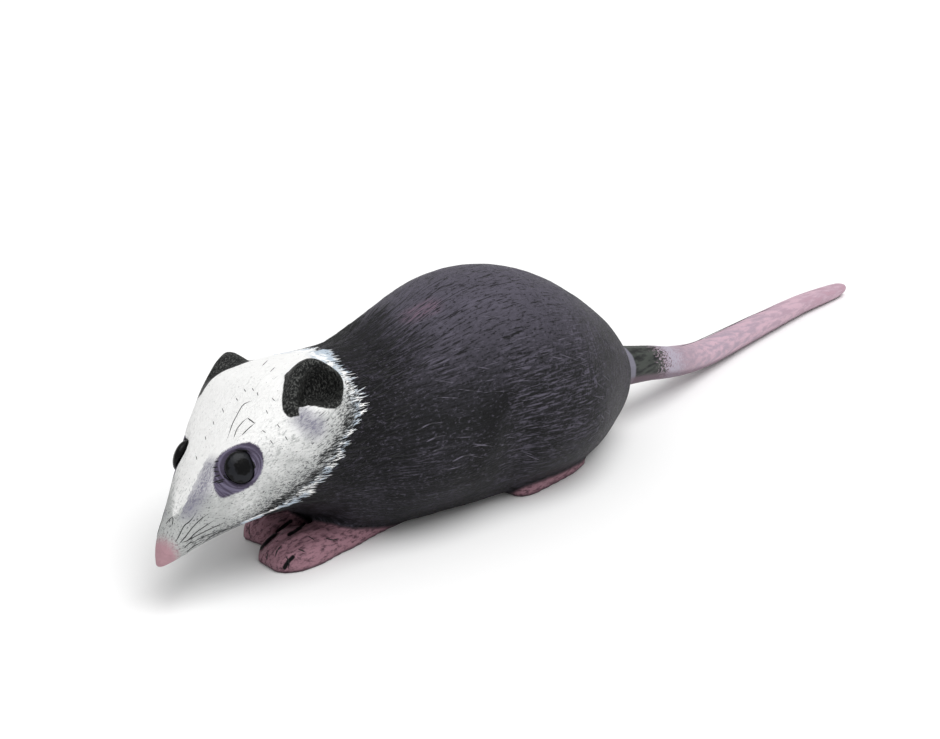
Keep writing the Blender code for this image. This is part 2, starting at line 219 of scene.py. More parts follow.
RUMP_SPAN = (6.0, -18.0)
# Painted light on the back: the heights over which its top turns lighter
PAINTED_TOP_LIGHT_SPAN = (30.0, 53.0)
# Painted shade on the flanks: the heights over which they turn darker low down
PAINTED_LOW_SHADE_SPAN = (28.0, 8.0)
SMEAR_SPAN = (4.0, 0.5)
# Painted shade in the crease before the thigh
CREASE_SHADE_SPAN = (5.5, 0.0)
NECK_SPAN = (30.0, 12.0)
SNOUT_SPAN = (4.0, 12.0)
BEHIND_FACE_SPAN = (22.0, 4.0)
COOL_SPAN = (5.0, 0.0)
RUFF_EDGE = (-0.4, 0.4)
LAVENDER_SPAN = (5.2, 1.0)
PATCH_EDGE = (0.75, 0.25)
MUZZLE_EDGE = (19.4, 21.8)
# Painted shade in the grooves between the paws and toes
GROOVE_SHADE_SPAN = (0.65, 0.3)
# Painted shade along the soles, just above the floor
SOLE_SHADE_SPAN = (1.5, 0.7)
PAW_RIM = (1.5, 0.6)
PAW_EDGE = (0.1, 0.5)
EAR_EDGE = (0.0, 0.4)
ROSE_SPAN = (60.0, 130.0)
DUSK_SPAN = (52.0, 16.0)
GREY_END = (13.5, 18.0)
SEAM_SPAN = (2.2, 1.4)
PALE_BAND = ((17.5, 19.5), (30.0, 21.0))
# Painted shade along the tail's underside
TAIL_SHADE_BELOW_SPAN = (-1.0, -2.6)
PUPIL_EDGE = (2.3, 2.7)
DOME_EDGE = (3.7, 4.1)

# Dark lines: their pixels, width, whether both sides have them, and points along each

DARK_LINES = (
    (FOREHEAD_LINES, 0.36, False, 16),
    (FACE_TICKS, 0.26, False, 5),
    (WHISKERS, 0.32, True, 16),
    (MOUTH_LINES, 0.34, True, 16),
    (EYE_LINES, 0.5, True, 16),
    (LASHES, 0.5, False, 7),
    (TOE_LINES, 0.5, False, 8),
    ([TAIL_EDGE], 0.4, False, 60),
)
ARC_LINES = (SHOULDER_ARCS, 0.5, False, 16)

# Painted hair: strokes on each side, turns round the head from the top, places behind the
# ruff's border, greatest length, and widths

NECK_HAIR = (260, (0.05, 2.5), (1.0, 22.0), 6.0, (0.25, 0.45))
CHEEK_HAIR = (560, (1.15, 2.3), (-8.0, -0.5), 2.4, (0.12, 0.24))
RUFF_HAIR = (520, (0.05, 2.5), (-3.5, 0.6), 3.6, (0.18, 0.36))
HAIR_SHORTEST = 0.35
HAIR_LEAN = (0.05, 0.55)
EAR_CLEARANCE = 1.5

# Dry-brush strokes on the back and flanks

BACK_STROKES = 260
BACK_SPAN = (-32.0, 40.0)
BACK_TURN = 1.9
BACK_LENGTH = 8.0
BACK_SHORTEST = 0.3
BACK_LEAN = (0.0, 0.5)
BACK_WIDTHS = (0.2, 0.4)
BACK_AXIS_HEIGHT = 20.0
BACK_LOWEST = 6.0
BACK_END = -36.0
RUMP_LEAN_LENGTH = 20.0
RUMP_LEAN_MOST = 2.0

# Every painted stroke: its steps, how it widens and thins as (rate, width at its end), and
# how it lies on the surface

STROKE_STEP = 0.7
STROKE_WIDENS = (6.0, 0.3)
STROKE_THINS = (3.0, 0.12)
STROKE_SUNK = 0.06
STROKE_STAND_OUT = 0.10
BACK_STAND_OUT = 0.05
STROKE_LOWEST = 1.0
SEED = 7

# Light and floor

FLOOR_REACH = 4000.0
FLOOR_WHITE = (0.93, 0.93, 0.93, 1.0)
KEY_DIRECTION = (-0.10, 0.35, 1.0)
KEY_SOFTNESS = math.radians(50.0)
KEY_STRENGTH = 1.85
ROOM_WHITE = (1.0, 1.0, 1.0, 1.0)
ROOM_STRENGTH = 0.66


def unit(vector):
    """The vector at length one."""
    return np.asarray(vector, float) / np.linalg.norm(vector)


def box_centre(node):
    """The middle of a CAD node's box, in millimetres."""
    low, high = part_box(node)
    return np.array((low + high) / 2.0) / MM


# Head frame: the muzzle's direction, the head's left and the head's up

def head_axes():
    """Forward, left and up directions of the turned head."""
    forward = np.array((
        math.cos(HEAD_PITCH) * math.cos(HEAD_YAW),
        math.cos(HEAD_PITCH) * math.sin(HEAD_YAW),
        -math.sin(HEAD_PITCH),
    ))
    level_left = np.array((-math.sin(HEAD_YAW), math.cos(HEAD_YAW), 0.0))
    level_up = np.cross(forward, level_left)
    left = level_left * math.cos(HEAD_ROLL) + level_up * math.sin(HEAD_ROLL)
    return forward, left, np.cross(forward, left)


FORWARD, LEFT, UP = head_axes()
HEAD = (box_centre("eye_left") + box_centre("eye_right")) / 2.0 - UP * EYE_RISE


def head_point(along, side, rise):
    """A point given in the head's own frame."""
    return HEAD + FORWARD * along + LEFT * side + UP * rise


def in_head(points):
    """Places along, to the left and up in the head's own frame."""
    away = points - HEAD
    return away @ FORWARD, away @ LEFT, away @ UP


def feature_axes(opening, side):
    """Outward, width and height axes of an ear or an eye."""
    outward = unit(FORWARD * opening[0] + LEFT * (opening[1] * side) + UP * opening[2])
    width = unit(np.cross(UP, outward))
    return np.array((outward, width, np.cross(outward, width)))


# Mesh tools

def rows_of(items, key, width, kind=float):
    """One value of every item of a mesh, as rows."""
    values = np.empty(len(items) * width, kind)
    items.foreach_get(key, values)
    return values.reshape(-1, width)


def mesh_arrays(mesh):
    """Vertices in millimetres and triangles of a mesh."""
    mesh.calc_loop_triangles()
    triangles = rows_of(mesh.loop_triangles, "vertices", 3, np.int32)
    return rows_of(mesh.vertices, "co", 3) / MM, triangles


def set_points(mesh, points):
    """Put a mesh's vertices at places given in millimetres."""
    mesh.vertices.foreach_set("co", (points * MM).astype(np.float32).ravel())
    mesh.update()


def edge_list(mesh):
    """The mesh's edges as pairs of vertex numbers."""
    return rows_of(mesh.edges, "vertices", 2, np.int32)


def vertex_normals(mesh):
    """The mesh's vertex normals."""
    return rows_of(mesh.vertex_normals, "vector", 3)


def add_object(name, data):
    """A new object in the scene."""
    made = bpy.data.objects.new(name, data)
    bpy.context.scene.collection.objects.link(made)
    return made


def mesh_from(name, points, faces):
    """A mesh through points given in millimetres."""
    mesh = bpy.data.meshes.new(name)
    faces = [list(map(int, face)) for face in faces]
    mesh.from_pydata((np.asarray(points) * MM).tolist(), [], faces)
    mesh.update()
    return mesh


def turn_faces_out(mesh):
    """Turn the faces of closed surfaces outward."""
    shape = bmesh.new()
    shape.from_mesh(mesh)
    bmesh.ops.recalc_face_normals(shape, faces=shape.faces)
    shape.to_mesh(mesh)
    shape.free()


def neighbour_mean(points, edges, count):
    """The mean of each vertex's neighbours."""
    first, second = edges[:, 0], edges[:, 1]
    total = np.empty_like(points)
    for axis in range(points.shape[1]):
        total[:, axis] = np.bincount(first, points[second, axis], count)
        total[:, axis] += np.bincount(second, points[first, axis], count)
    degree = np.bincount(first, minlength=count) + np.bincount(second, minlength=count)
    return total / np.maximum(degree, 1)[:, None]


def smooth(points, edges, share, rounds, steps=SMOOTH_STEPS):
    """Smooth points by a share for each vertex, as a rule in steps that keep volume."""
    count = len(points)
    for _ in range(rounds):
        for step in steps:
            moved = neighbour_mean(points, edges, count) - points
            points = points + moved * (share * step)[:, None]
    return points


def node_meshes(nodes):
    """The meshes of several CAD nodes."""
    return [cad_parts[node].data for node in nodes]


def stacked(surfaces):
    """The points and triangles of several surfaces as one."""
    points, faces, start = [], [], 0
    for place, triangles in surfaces:
        points.append(place)
        faces.append(triangles + start)
        start += len(place)
    return np.vstack(points), np.vstack(faces)


def grown(mesh):
    """Points and triangles of a CAD mesh, grown so that it meets its neighbours."""
    place, triangles = mesh_arrays(mesh)
    merged, index = np.unique(np.round(place, 4), axis=0, return_inverse=True)
    triangles = index.reshape(-1)[triangles]
    corners = merged[triangles]
    facing = np.cross(corners[:, 1] - corners[:, 0], corners[:, 2] - corners[:, 0])
    normals = np.zeros_like(merged)
    for corner in range(3):
        np.add.at(normals, triangles[:, corner], facing)
    normals /= np.maximum(np.linalg.norm(normals, axis=1), 1e-9)[:, None]
    return merged + normals * GROW, triangles


def remeshed(name, nodes, voxel):
    """One closed mesh over several nodes, whose thin gaps are closed."""
    rough = add_object(name, mesh_from(name, *stacked(map(grown, node_meshes(nodes)))))
    remesh = rough.modifiers.new("remesh", "REMESH")
    remesh.mode = "VOXEL"
    remesh.voxel_size = voxel * MM
    graph = bpy.context.evaluated_depsgraph_get()
    mesh = bpy.data.meshes.new_from_object(rough.evaluated_get(graph))
    bpy.data.objects.remove(rough)
    mesh.name = name
    return mesh


def tree_over(meshes):
    """A search tree over the surfaces of several meshes, in millimetres."""
    points, triangles = stacked(map(mesh_arrays, meshes))
    return BVHTree.FromPolygons(points.tolist(), triangles.tolist())


def tree_of(nodes):
    """A search tree over the surfaces of several CAD nodes, in millimetres."""
    return tree_over(node_meshes(nodes))


def distances(tree, points):
    """How far each point is from a tree's surfaces."""
    return np.array([tree.find_nearest(Vector(point))[3] for point in points])


def give(mesh, name, values):
    """Store one number, or one vector, for each vertex."""
    kind, key = ("FLOAT", "value") if values.ndim == 1 else ("FLOAT_VECTOR", "vector")
    attribute = mesh.attributes.new(name, kind, "POINT")
    attribute.data.foreach_set(key, values.astype(np.float32).ravel())


# The photograph's view

def camera_axes():
    """Right, up and back directions of the camera."""
    e, a = CAMERA_ELEVATION, CAMERA_AZIMUTH
    back = np.array((math.cos(e) * math.sin(a), math.cos(e) * math.cos(a), math.sin(e)))
    right = np.array((-math.cos(a), math.sin(a), 0.0))
    return right, np.cross(back, right), back


RIGHT_OF_VIEW, UP_OF_VIEW, BACK_OF_VIEW = camera_axes()


def pixel_ray(pixel):
    """The direction from the camera through a pixel of the photograph."""
    across = (pixel[0] - IMAGE_SIZE[0] / 2.0) / FOCAL_PIXELS
    down = (pixel[1] - IMAGE_SIZE[1] / 2.0) / FOCAL_PIXELS
    return unit(RIGHT_OF_VIEW * across - UP_OF_VIEW * down - BACK_OF_VIEW)


def seen_pixels(points):
    """Where points show in the photograph, in its pixels."""
    away = points - CAMERA_PLACE
    scale = FOCAL_PIXELS / -(away @ BACK_OF_VIEW)
    across = IMAGE_SIZE[0] / 2.0 + scale * (away @ RIGHT_OF_VIEW)
    down = IMAGE_SIZE[1] / 2.0 - scale * (away @ UP_OF_VIEW)
    return np.stack((across, down), 1)


def seen_at(tree, pixel):
    """The point of the surface that shows at a pixel, and its normal."""
    hit, normal, _, _ = tree.ray_cast(Vector(CAMERA_PLACE), Vector(pixel_ray(pixel)))
    if hit is None:
        return None, None
    return np.array(hit), np.array(normal)


def curve_through(points, count, steps=12):
    """Points evenly spread along a smooth curve through the given ones."""
    points = np.asarray(points, float)
    padded = np.vstack((2 * points[0] - points[1], points, 2 * points[-1] - points[-2]))
    fine = []
    for index in range(len(points) - 1):
        a, b, c, d = padded[index:index + 4]
        for step in range(steps):
            t = step / steps
            fine.append(0.5 * (2 * b + (c - a) * t + (2 * a - 5 * b + 4 * c - d) * t ** 2
                               + (3 * b - a - 3 * c + d) * t ** 3))
    fine.append(points[-1])
    fine = np.array(fine)
    gaps = np.linalg.norm(np.diff(fine, axis=0), axis=1)
    along = np.concatenate(((0.0,), np.cumsum(gaps)))
    wanted = np.linspace(0.0, along[-1], count)
    return np.stack([np.interp(wanted, along, column) for column in fine.T], 1)


def route_distance(points, route):
    """How far each point is from a row of places."""
    gap = np.full(len(points), FAR)
    for place in route:
        gap = np.minimum(gap, np.linalg.norm(points - place, axis=1))
    return gap


def polygon_distance(points, polygon):
    """Distance to a closed outline in a plane, negative inside it."""
    inside = np.zeros(len(points), bool)
    best = np.full(len(points), np.inf)
    for start, end in zip(polygon, np.roll(polygon, -1, axis=0)):
        run = end - start
        away = points - start
        share = np.clip(away @ run / run.dot(run), 0.0, 1.0)
        best = np.minimum(best, np.linalg.norm(away - share[:, None] * run, axis=1))
        crosses = (start[1] > points[:, 1]) != (end[1] > points[:, 1])
        rise = run[1] if abs(run[1]) > 1e-9 else 1e-9
        inside ^= crosses & (points[:, 0] < start[0] + (points[:, 1] - start[1]) * run[0] / rise)
    return np.where(inside, -best, best)


# Skin

def eye_chart(points, name):
    """Places of points on the flat chart of one eye: width, height and outward."""
    axes = feature_axes(EYE_OUTWARD, SIDES[name])
    away = points - box_centre("eye_" + name)
    return away @ axes[1], away @ axes[2], away @ axes[0]


def knife_cuts(points):
    """How deep the long shallow knife cuts go at each point."""
    depths = [noise.noise(Vector(place)) for place in points * KNIFE_STRETCH]
    return KNIFE_DEPTH * (0.5 + 0.5 * np.array(depths))


def paw_grooves(tree):
    """The places along each groove between the toes."""
    return [photo_route(tree, pixels, GROOVE_PLACES) for pixels in PAW_GROOVES]


def groove_cuts(points, tree):
    """How deep the grooves between the toes go at each point."""
    depth = np.zeros(len(points))
    for route, deepest in zip(paw_grooves(tree), GROOVE_DEPTHS):
        gap = route_distance(points, route)
        depth = np.maximum(depth, deepest * np.exp(-(gap / GROOVE_WIDTH) ** 2))
    return depth


def make_skin():
    """The carved block as one smooth skin."""
    mesh = remeshed("skin", BLOCK + PAWS + EARS, SKIN_VOXEL)
    points, _ = mesh_arrays(mesh)
    edges = edge_list(mesh)
    everywhere = np.ones(len(points))
    fine = np.zeros(len(points))
    for nodes in (PAWS, EARS):
        fine += np.exp(-(distances(tree_of(nodes), points) / FINE_REACH) ** 2)
    fine += 1.0 / (1.0 + np.exp((MUZZLE_START - in_head(points)[0]) / MUZZLE_FADE))
    body_share = np.clip(1.0 - fine, 0.0, 1.0)
    points = smooth(points, edges, everywhere, FIRST_ROUNDS, PLAIN_STEPS)
    set_points(mesh, points)
    points = points - vertex_normals(mesh) * GROW
    points = smooth(points, edges, body_share, BODY_ROUNDS)
    points = smooth(points, edges, everywhere, FINE_ROUNDS)
    points = smooth(points, edges, body_share, LAST_ROUNDS, PLAIN_STEPS)
    set_points(mesh, points)
    points = points - vertex_normals(mesh) * (knife_cuts(points) * body_share)[:, None]
    points = points - vertex_normals(mesh) * groove_cuts(points, tree_over([mesh]))[:, None]
    points[:, 2] = np.maximum(points[:, 2], FLOOR_GAP)
    set_points(mesh, points)
    return mesh


# Paints

def tint(red, green, blue):
    """A linear colour from the 0 to 255 values of a painted colour."""
    channels = []
    for value in (red, green, blue):
        value /= 255.0
        channels.append(value / 12.92 if value <= 0.04045 else ((value + 0.055) / 1.055) ** 2.4)
    return (*channels, 1.0)


class Paint:
    """A node material, built from small steps."""

    def __init__(self, name):
        self.material = bpy.data.materials.new(name)
        self.material.use_nodes = True
        self.nodes = self.material.node_tree.nodes
        self.links = self.material.node_tree.links
        self.shader = self.nodes["Principled BSDF"]

    def put(self, socket, value):
        """Link a socket to another, or set its number or colour."""
        if isinstance(value, bpy.types.NodeSocket):
            self.links.new(value, socket)
        else:
            socket.default_value = value

    def field(self, name, kind="Fac"):
        """A value stored on the mesh's vertices."""
        node = self.nodes.new("ShaderNodeAttribute")
        node.attribute_name = name
        return node.outputs[kind]

    def calculate(self, operation, first, second):
        """One sum on numbers."""
        node = self.nodes.new("ShaderNodeMath")
        node.operation = operation
        self.put(node.inputs[0], first)
        self.put(node.inputs[1], second)
        return node.outputs[0]

    def times(self, first, second):
        """The product of two numbers."""
        return self.calculate("MULTIPLY", first, second)

    def plus(self, first, second):
        """The sum of two numbers."""
        return self.calculate("ADD", first, second)

    def wobble(self, grain, size):
        """Noise as an amount up or down, for a ragged edge."""
        return self.times(self.calculate("SUBTRACT", grain, 0.5), size)

    def uneven(self, name, grain, size):
        """A stored value with noise added to it."""
        return self.plus(self.field(name), self.times(grain, size))

    def cover(self, name, span):
        """How fully a paint covers, from the stored value of its field."""
        return self.between(self.field(name), *span)

    def noise(self, vector, scale, detail=2.0, roughness=0.5, distortion=0.0):
        """Smooth noise from 0 to 1."""
        node = self.nodes.new("ShaderNodeTexNoise")
        self.put(node.inputs["Vector"], vector)
        node.inputs["Scale"].default_value = scale
        node.inputs["Detail"].default_value = detail
        node.inputs["Roughness"].default_value = roughness
        node.inputs["Distortion"].default_value = distortion
        return node.outputs["Fac"]

    def streaks(self, vector, scale, detail, roughness=0.5, distortion=0.0):
        """Noise that is stretched by a scale along each axis."""
        node = self.nodes.new("ShaderNodeVectorMath")
        node.operation = "MULTIPLY"
        self.put(node.inputs[0], vector)
        node.inputs[1].default_value = scale
        return self.noise(node.outputs[0], 1.0, detail, roughness, distortion)

    def between(self, value, low, high, start=0.0, end=1.0):
        """A smooth step from start to end as the value goes from low to high."""
        node = self.nodes.new("ShaderNodeMapRange")
        node.interpolation_type = "SMOOTHSTEP"
        self.put(node.inputs["Value"], value)
        node.inputs["From Min"].default_value = low
        node.inputs["From Max"].default_value = high
        node.inputs["To Min"].default_value = start
        node.inputs["To Max"].default_value = end
        return node.outputs["Result"]

    def blend(self, share, first, second):
        """A colour between two others."""
        node = self.nodes.new("ShaderNodeMix")
        node.data_type = "RGBA"
        self.put(node.inputs[0], share)
        self.put(node.inputs[6], first)
        self.put(node.inputs[7], second)
        return node.outputs[2]

    def part_of(self, vector, axis):
        """One part of a vector."""
        node = self.nodes.new("ShaderNodeSeparateXYZ")
        self.put(node.inputs[0], vector)
        return node.outputs[axis]

    def mix_number(self, share, first, second):
        """A number between two others."""
        node = self.nodes.new("ShaderNodeMix")
        self.put(node.inputs[0], share)
        self.put(node.inputs[2], first)
        self.put(node.inputs[3], second)
        return node.outputs[0]

    def relief(self, height, depth, below=None):
        """A bumped normal for a height from 0 to 1 and a depth in millimetres."""
        node = self.nodes.new("ShaderNodeBump")
        node.inputs["Strength"].default_value = 1.0
        node.inputs["Distance"].default_value = depth * MM
        self.put(node.inputs["Height"], height)
        if below is not None:
            self.put(node.inputs["Normal"], below)
        return node.outputs["Normal"]

    def finish(self, colour, roughness, normal=None, specular=0.35):
        """Connect the shader."""
        self.put(self.shader.inputs["Base Color"], colour)
        self.put(self.shader.inputs["Roughness"], roughness)
        self.shader.inputs["Specular IOR Level"].default_value = specular
        if normal is not None:
            self.put(self.shader.inputs["Normal"], normal)
        return self.material


# Colours of the paints

CHARCOAL = tint(38, 37, 42)
PURPLE_GREY = tint(92, 88, 101)
GREEN_BLACK = tint(22, 23, 24)
BLACK = tint(11, 11, 13)
WHITE = tint(251, 251, 250)
# Ivory-grey of the face's painted shade and grey paint
IVORY = tint(184, 186, 185)
COOL_WHITE = tint(188, 200, 212)
TICK_GREY = tint(78, 80, 82)
LAVENDER = tint(130, 128, 144)
EYE_PURPLE = tint(76, 69, 87)
EYE_MAUVE = tint(112, 106, 128)
EAR_BLACK = tint(20, 21, 21)
# Grey of the painted sheen on the black ears
EAR_SHEEN = tint(86, 87, 85)
PINK = tint(156, 118, 129)
PLUM = tint(74, 52, 61)
# Dark plum-grey, for the soles' painted shade and the paws' dark edges
DUSK = tint(48, 42, 48)
NOSE_PINK = tint(180, 143, 151)
SMEAR_PINK = tint(148, 112, 132)
TAIL_PINK = tint(196, 166, 179)
TAIL_LAVENDER = tint(166, 148, 162)
TAIL_ROSE = tint(186, 148, 162)
TAIL_PALE = tint(178, 176, 192)
# Dark plum for the painted shade along the tail's underside
TAIL_SHADE_BELOW = tint(104, 84, 96)
TAIL_DUSK = tint(150, 132, 144)
TAIL_GREY = tint(62, 66, 62)
SEAM_GREY = tint(118, 116, 128)
EYE_GREY = tint(32, 33, 37)
EYE_BLACK = tint(5, 5, 6)


def body_colour(paint, flow, place):
    """Charcoal with fine dark strokes, purple-grey dry brush, a black neck, painted light on top of
    the back, and painted shade low on the flanks and in the crease.
    """
    fine = paint.streaks(flow, (0.30, 3.0, 3.0), 3.0, 0.65)
    upright = paint.streaks(flow, (2.6, 0.35, 0.35), 3.0, 0.65)
    broad = paint.streaks(flow, (0.08, 0.45, 0.45), 3.0, 0.6, 0.5)
    patch = paint.noise(place, 0.055, 2.0, 0.5)
    rump = paint.between(paint.part_of(place, "X"), *RUMP_SPAN)
    stroke = paint.mix_number(paint.times(rump, 0.75), fine, upright)

    body = paint.blend(paint.between(broad, 0.36, 0.66), GREEN_BLACK, CHARCOAL)
    # Painted light: the back is painted lighter towards its top, where the overhead light falls.
    high = paint.between(paint.part_of(place, "Z"), *PAINTED_TOP_LIGHT_SPAN)
    body = paint.blend(paint.times(high, 0.7), body, PURPLE_GREY)
    dry = paint.times(paint.between(stroke, 0.50, 0.62), paint.between(patch, 0.40, 0.58, 0.1, 1.0))
    body = paint.blend(paint.times(dry, 0.85), body, PURPLE_GREY)
    dark = paint.between(stroke, 0.47, 0.36)
    body = paint.blend(paint.times(dark, 0.9), body, BLACK)
    smear = paint.times(paint.cover("smear", SMEAR_SPAN), paint.between(fine, 0.4, 0.6))
    body = paint.blend(paint.times(smear, 0.4), body, SMEAR_PINK)
    # Painted shade: the flanks are painted darker low down, towards the floor.
    low = paint.between(paint.part_of(place, "Z"), *PAINTED_LOW_SHADE_SPAN)
    body = paint.blend(paint.times(low, 0.45), body, BLACK)
    # Painted shade: black paint in the crease before the thigh.
    body = paint.blend(paint.times(paint.cover("crease_shade", CREASE_SHADE_SPAN), 0.9), body, BLACK)
    neck = paint.between(paint.plus(paint.field("ruff"), paint.field("back")), *NECK_SPAN)
    neck = paint.times(neck, paint.between(stroke, 0.62, 0.50, 0.6, 0.95))
    body = paint.blend(neck, body, BLACK)
    grain = paint.streaks(flow, (1.1, 2.2, 2.2), 3.0, 0.7)
    body = paint.blend(paint.between(grain, 0.54, 0.70, 0.0, 0.6), body, PURPLE_GREY)
    body = paint.blend(paint.between(grain, 0.46, 0.32, 0.0, 0.8), body, BLACK)
    return body, stroke


def face_colour(paint, head_flow):
    """White on top; below, ivory-grey in painted shade that deepens round the head from the top,
    mixed with patchy grey paint and stippled, with a bluish edge at the ruff.
    """
    cheek = paint.field("cheek")
    speck = paint.streaks(head_flow, (0.8, 3.0, 3.0), 3.0, 0.7, 0.4)
    cloud = paint.noise(head_flow, 0.22, 3.0, 0.6)
    brushed = paint.streaks(head_flow, (0.25, 2.0, 2.0), 2.0, 0.6)
    snout = paint.cover("muzzle", SNOUT_SPAN)
    behind = paint.times(paint.cover("ruff", BEHIND_FACE_SPAN), cheek)

    # Painted shade: the face turns greyer round the head from the top, mixed with patchy grey
    # paint.
    shade_and_grey = paint.plus(cheek, paint.wobble(cloud, 1.1))
    shade_and_grey = paint.plus(shade_and_grey, paint.between(brushed, 0.50, 0.68, -0.25, 0.3))
    shade_and_grey = paint.plus(shade_and_grey, paint.times(snout, 0.6))
    shade_and_grey = paint.plus(shade_and_grey, paint.times(behind, 0.3))
    white = paint.blend(paint.between(shade_and_grey, 0.0, 1.2), WHITE, IVORY)
    cool = paint.times(paint.cover("ruff", COOL_SPAN), paint.between(cloud, 0.35, 0.6))
    white = paint.blend(cool, white, COOL_WHITE)
    dense = paint.plus(paint.times(cheek, 0.055), paint.times(cloud, 0.12))
    dense = paint.plus(dense, paint.times(behind, 0.16))
    dense = paint.plus(dense, paint.times(snout, 0.03))
    ticks = paint.between(paint.plus(speck, dense), 0.70, 0.80)
    return paint.blend(paint.times(ticks, 0.85), white, TICK_GREY), speck


def paw_colour(paint, place):
    """Dusty pink mottled with plum, painted shade that is black in the grooves and dark along the
    soles, and dark edges; and how far inside it is.
    """
    mottle = paint.streaks(place, (0.45, 1.3, 1.3), 4.0, 0.7)
    edge = paint.uneven("paw", mottle, 0.5)
    colour = paint.blend(paint.between(mottle, 0.44, 0.66, 0.0, 0.9), PINK, PLUM)
    # Painted shade: black in the grooves between the paws and between the toes.
    colour = paint.blend(paint.cover("groove_shade", GROOVE_SHADE_SPAN), colour, BLACK)
    # Painted shade: the paws are painted darker just above the floor.
    sole_shade = paint.between(paint.plus(paint.part_of(place, "Z"), mottle), *SOLE_SHADE_SPAN)
    colour = paint.blend(paint.times(sole_shade, 0.75), colour, DUSK)
    return paint.blend(paint.between(edge, *PAW_RIM, 0.0, 0.85), colour, DUSK), edge


def skin_paint():
    """Brushed charcoal body, white face, black ears, purple eye patches and pink paws, with painted
    light on the back and a painted sheen on the ears, and painted shade low on the flanks, in the
    crease, on the face's sides, along the soles and in the toe grooves.
    """
    paint = Paint("carved_paint")
    flow = paint.field("flow", "Vector")
    head_flow = paint.field("head_flow", "Vector")
    place = paint.field("place", "Vector")
    body, stroke = body_colour(paint, flow, place)
    white, speck = face_colour(paint, head_flow)

    feather = paint.streaks(head_flow, (0.22, 2.4, 2.4), 3.0, 0.6)
    ruff_edge = paint.plus(paint.field("ruff"), paint.wobble(feather, 10.0))
    colour = paint.blend(paint.between(ruff_edge, *RUFF_EDGE), body, white)

    lavender = paint.between(paint.uneven("lavender", speck, 1.6), *LAVENDER_SPAN)
    lavender = paint.times(lavender, paint.between(speck, 0.40, 0.62, 0.6, 1.0))
    colour = paint.blend(lavender, colour, LAVENDER)
    ring = paint.streaks(paint.field("eye_rings", "Vector"), (2.0, 0.16, 0.16), 2.0)
    purple = paint.blend(paint.between(ring, 0.42, 0.66), EYE_PURPLE, EYE_MAUVE)
    in_patch = paint.between(paint.uneven("eye_patch", speck, 0.9), *PATCH_EDGE)
    colour = paint.blend(in_patch, colour, purple)
    pink = paint.between(paint.uneven("muzzle", speck, 3.0), *MUZZLE_EDGE)
    colour = paint.blend(pink, colour, NOSE_PINK)

    paw, paw_edge = paw_colour(paint, place)
    colour = paint.blend(paint.between(paw_edge, *PAW_EDGE), colour, paw)
    # Painted sheen: lighter grey streaks over the black of the ears.
    ear_sheen_streaks = paint.streaks(head_flow, (2.0, 3.4, 1.2), 3.0, 0.7)
    ear = paint.blend(paint.between(ear_sheen_streaks, 0.46, 0.64), EAR_BLACK, EAR_SHEEN)
    in_ear = paint.between(paint.uneven("ear", speck, 0.5), *EAR_EDGE)
    colour = paint.blend(in_ear, colour, ear)

    normal = paint.relief(paint.times(ring, in_patch), 0.25)
    normal = paint.relief(stroke, 0.30, normal)
    normal = paint.relief(speck, 0.26, normal)
    roughness = paint.between(stroke, 0.3, 0.7, 0.40, 0.60)
    return paint.finish(colour, roughness, normal, 0.12)


def tail_paint():
    """Grey at the root, then speckled lavender and pale pink along the whittled tail, with painted
    shade along its underside.
    """
    paint = Paint("tail_paint")
    flow = paint.field("flow", "Vector")
    along = paint.field("along")
    speck = paint.streaks(flow, (1.0, 1.6, 1.6), 3.0, 0.65)
    streak = paint.streaks(flow, (0.10, 0.7, 0.7), 3.0, 0.6)
    ragged = paint.plus(along, paint.wobble(speck, 30.0))

    pale = paint.blend(paint.between(streak, 0.38, 0.62), TAIL_LAVENDER, TAIL_PINK)
    rose = paint.times(paint.between(along, *ROSE_SPAN), paint.between(streak, 0.55, 0.40))
    pale = paint.blend(paint.times(rose, 0.7), pale, TAIL_ROSE)
    pale = paint.blend(paint.between(along, *DUSK_SPAN), pale, TAIL_DUSK)
    pale = paint.blend(paint.between(speck, 0.62, 0.74, 0.0, 0.4), pale, PLUM)
    grey = paint.blend(paint.between(streak, 0.4, 0.65), TAIL_GREY, GREEN_BLACK)
    colour = paint.blend(paint.between(ragged, *GREY_END), grey, pale)
    colour = paint.blend(paint.between(along, *SEAM_SPAN), colour, SEAM_GREY)
    first, last = PALE_BAND
    band = paint.times(paint.between(ragged, *first), paint.between(ragged, *last))
    colour = paint.blend(paint.times(band, 0.6), colour, TAIL_PALE)
    # Painted shade: the tail is painted darker along its underside.
    under_shade = paint.between(paint.field("above"), *TAIL_SHADE_BELOW_SPAN, 0.0, 0.75)
    colour = paint.blend(under_shade, colour, TAIL_SHADE_BELOW)
    return paint.finish(colour, 0.55, paint.relief(streak, 0.12), 0.2)


def eye_paint():
    """Dark grey dome with a black pupil and a black edge."""
    paint = Paint("eye_paint")
    place = paint.field("place", "Vector")
    radius = paint.uneven("radius", paint.noise(place, 0.7, 2.0), 1.6)
    colour = paint.blend(paint.between(radius, *PUPIL_EDGE), EYE_BLACK, EYE_GREY)
    colour = paint.blend(paint.between(radius, *DOME_EDGE), colour, EYE_BLACK)
    normal = paint.relief(paint.noise(place, 1.6, 2.0), 0.08)
    return paint.finish(colour, 0.26, normal, 0.14)


def stroke_paint(name, first, second):
    """Paint of the fine strokes, between two colours."""
    paint = Paint(name)
    share = paint.between(paint.noise(paint.field("place", "Vector"), 0.35, 2.0), 0.4, 0.6)
    return paint.finish(paint.blend(share, first, second), 0.6)


# Fields that the skin's paint reads

def turn_of(side, rise):
    """The angle round the head's axis, from the top."""
    return np.arctan2(np.abs(side), rise - HEAD_AXIS_RISE)


def ruff_border(tree):
    """The ruff's border as angles round the head and places along it."""
    border = np.array([seen_at(tree, pixel)[0] for pixel in RUFF_BORDER])
    along, side, rise = in_head(border)
    turn = turn_of(side, rise)
    order = np.argsort(turn)
    return turn[order], along[order]


